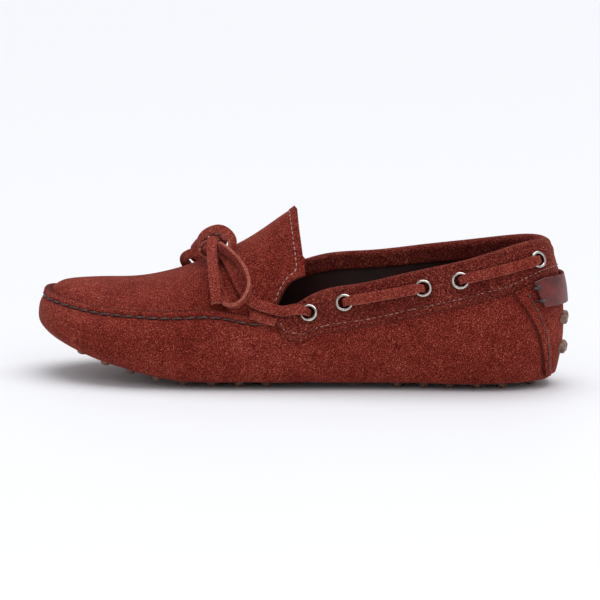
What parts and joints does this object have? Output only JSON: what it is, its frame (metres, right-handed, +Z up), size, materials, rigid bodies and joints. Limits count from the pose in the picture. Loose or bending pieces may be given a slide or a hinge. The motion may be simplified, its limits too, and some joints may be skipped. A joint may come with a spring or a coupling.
{
  "type": "driving moccasin",
  "caption": "Suede driving moccasin for the left foot: raised apron seam, laced collar with metal eyelets and a flat bow, soft upper on a studded rubber sole.",
  "frame": {"origin": "on the floor under the middle of the shoe's length and width, the free bow left out", "axes": "+X towards the toe, +Y towards the outer side of the foot, +Z up"},
  "size_m": [0.2816, 0.094, 0.0905],
  "materials": {
    "suede": "napped suede, matte",
    "lace": "flat suede lace, matte",
    "footbed": "smooth calf, satin",
    "rubber": "smoked rubber, satin",
    "nickel": "nickel plated"
  },
  "bodies": {
    "root": {"apron": "suede", "bow_end_inner": "lace", "bow_end_outer": "lace", "bow_knot": "lace", "bow_loop_inner": "lace", "bow_loop_outer": "lace", "bow_ring": "lace", "collar_band": "suede", "eyelet_inner_1": "nickel", "eyelet_inner_2": "nickel", "eyelet_inner_3": "nickel", "eyelet_inner_4": "nickel", "eyelet_inner_5": "nickel", "eyelet_outer_1": "nickel", "eyelet_outer_2": "nickel", "eyelet_outer_3": "nickel", "eyelet_outer_4": "nickel", "eyelet_outer_5": "nickel", "heel_patch": "suede", "heel_stud_1": "rubber", "heel_stud_2": "rubber", "heel_stud_3": "rubber", "heel_stud_4": "rubber", "heel_stud_5": "rubber", "heel_tab": "suede", "insole": "footbed", "lace_bar_inner_2": "lace", "lace_bar_inner_4": "lace", "lace_bar_outer_2": "lace", "lace_bar_outer_4": "lace", "lace_run_inner": "lace", "lace_run_outer": "lace", "seam_tab_inner": "suede", "seam_tab_outer": "suede", "sole_forefoot": "rubber", "sole_heel": "rubber", "upper": "suede"}
  },
  "joints": []
}
